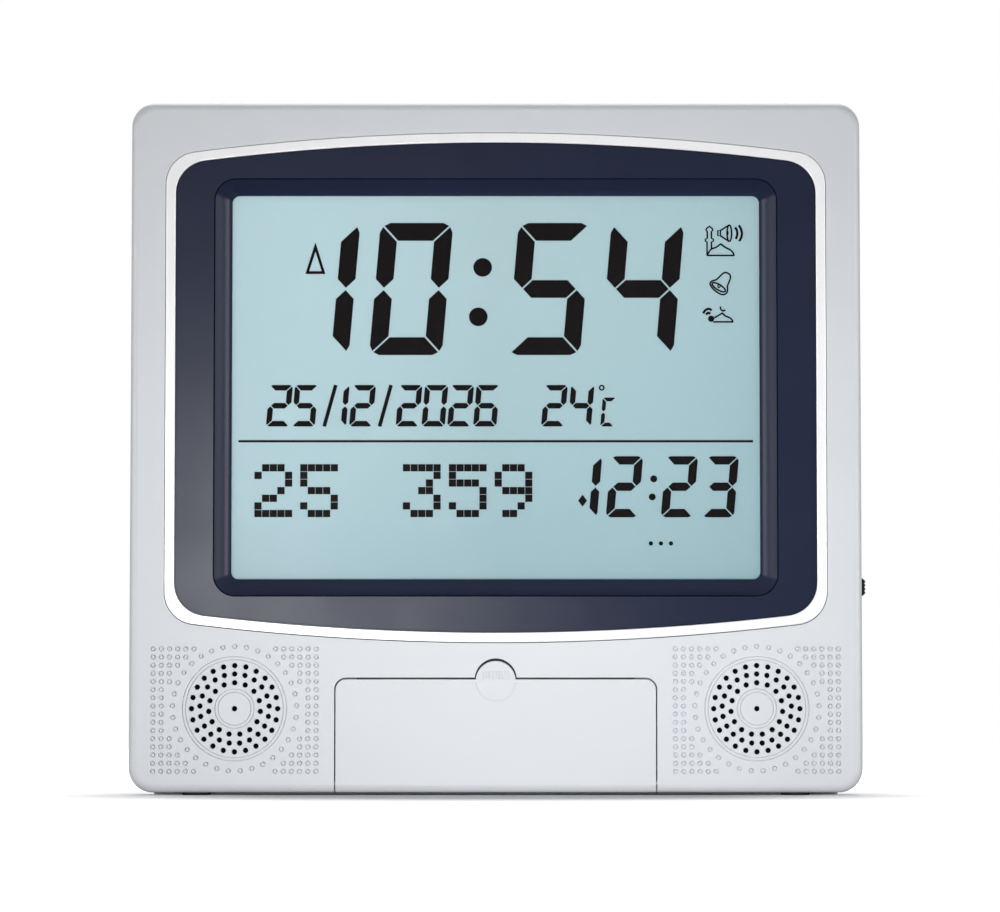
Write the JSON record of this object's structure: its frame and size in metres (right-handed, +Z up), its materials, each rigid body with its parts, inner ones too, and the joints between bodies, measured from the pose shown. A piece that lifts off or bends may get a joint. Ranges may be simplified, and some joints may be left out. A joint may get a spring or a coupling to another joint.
{
  "type": "prayer time clock",
  "caption": "Flat digital prayer-time clock with a large liquid crystal display, twin speaker grilles, a drop-down keypad door and a folding rear leg.",
  "frame": {"origin": "middle of the surface that the feet stand on", "axes": "+Z up, -Y towards the front of the clock, +X to the right seen from the front"},
  "size_m": [0.2557, 0.0364, 0.241],
  "materials": {
    "silver_case": "fine satin, pale silver grey",
    "white_trim": "polished white",
    "navy_bezel": "satin dark navy",
    "clear_window": "clear sheet",
    "display_glass": "pale blue green reflective display with dark artwork",
    "black_plastic": "satin black",
    "grey_buttons": "satin mid grey",
    "black_rubber": "matt",
    "green_board": "solder resist over laminate",
    "steel": "plain bright",
    "speaker_cone": "pressed paper",
    "cell_jacket": "printed sleeve, plain",
    "wire_jacket": "smooth"
  },
  "bodies": {
    "case": {"back_case": "silver_case", "battery_1": "cell_jacket", "battery_2": "cell_jacket", "battery_3": "cell_jacket", "battery_contact_1": "steel", "battery_contact_2": "steel", "battery_contact_3": "steel", "battery_contact_4": "steel", "battery_lead": "wire_jacket", "bezel": "navy_bezel", "capacitor_1": "black_plastic", "capacitor_2": "black_plastic", "case_screw_1": "steel", "case_screw_2": "steel", "case_screw_3": "steel", "case_screw_4": "steel", "clock_chip": "black_plastic", "display_front_glass": "display_glass", "display_holder": "black_plastic", "display_rear_glass": "display_glass", "door_catch": "steel", "front_case": "silver_case", "holder_screw_1": "steel", "holder_screw_2": "steel", "holder_screw_3": "steel", "holder_screw_4": "steel", "keypad_board": "green_board", "keypad_screw_1": "steel", "keypad_screw_2": "steel", "main_board": "green_board", "quartz_crystal": "steel", "rubber_foot_1": "black_rubber", "rubber_foot_2": "black_rubber", "rubber_foot_3": "black_rubber", "rubber_foot_4": "black_rubber", "side_switch_body": "black_plastic", "sound_chip": "black_plastic", "speaker_cone_left": "speaker_cone", "speaker_cone_right": "speaker_cone", "speaker_frame_left": "steel", "speaker_frame_right": "steel", "speaker_magnet_left": "steel", "speaker_magnet_right": "steel", "speaker_wire_left": "wire_jacket", "speaker_wire_right": "wire_jacket", "trim_ring": "white_trim", "window_lens": "clear_window", "zebra_strip": "black_rubber"},
    "door": {"front_door": "silver_case"},
    "battery_cover": {"battery_door": "silver_case"},
    "stand": {"stand_leg": "silver_case"},
    "side_switch": {"side_switch_knob": "black_plastic"},
    "key_1": {"button_1": "grey_buttons"},
    "key_2": {"button_2": "grey_buttons"},
    "key_3": {"button_3": "grey_buttons"},
    "key_4": {"button_4": "grey_buttons"},
    "key_5": {"button_5": "grey_buttons"},
    "key_6": {"button_6": "grey_buttons"},
    "key_7": {"button_7": "grey_buttons"},
    "key_8": {"button_8": "grey_buttons"}
  },
  "joints": [
    {"name": "door_hinge", "type": "hinge", "parent": "case", "child": "door", "pos_m": [0, -0.0152, 0.0042], "axis": [1, 0, 0], "range_deg": [0, 90]},
    {"name": "battery_cover_slide", "type": "slide", "parent": "case", "child": "battery_cover", "axis": [0, 1, 0], "range_m": [0, 0.02]},
    {"name": "stand_hinge", "type": "hinge", "parent": "case", "child": "stand", "pos_m": [0, 0.0159, 0.113], "axis": [1, 0, 0], "range_deg": [0, 30]},
    {"name": "side_switch_slide", "type": "slide", "parent": "case", "child": "side_switch", "axis": [0, 0, 1], "range_m": [0, 0.0025]},
    {"name": "key_1_press", "type": "slide", "parent": "case", "child": "key_1", "axis": [0, 1, 0], "range_m": [0, 0.001], "stiffness_N_per_m": 300},
    {"name": "key_2_press", "type": "slide", "parent": "case", "child": "key_2", "axis": [0, 1, 0], "range_m": [0, 0.001], "stiffness_N_per_m": 300},
    {"name": "key_3_press", "type": "slide", "parent": "case", "child": "key_3", "axis": [0, 1, 0], "range_m": [0, 0.001], "stiffness_N_per_m": 300},
    {"name": "key_4_press", "type": "slide", "parent": "case", "child": "key_4", "axis": [0, 1, 0], "range_m": [0, 0.001], "stiffness_N_per_m": 300},
    {"name": "key_5_press", "type": "slide", "parent": "case", "child": "key_5", "axis": [0, 1, 0], "range_m": [0, 0.001], "stiffness_N_per_m": 300},
    {"name": "key_6_press", "type": "slide", "parent": "case", "child": "key_6", "axis": [0, 1, 0], "range_m": [0, 0.001], "stiffness_N_per_m": 300},
    {"name": "key_7_press", "type": "slide", "parent": "case", "child": "key_7", "axis": [0, 1, 0], "range_m": [0, 0.001], "stiffness_N_per_m": 300},
    {"name": "key_8_press", "type": "slide", "parent": "case", "child": "key_8", "axis": [0, 1, 0], "range_m": [0, 0.001], "stiffness_N_per_m": 300}
  ]
}
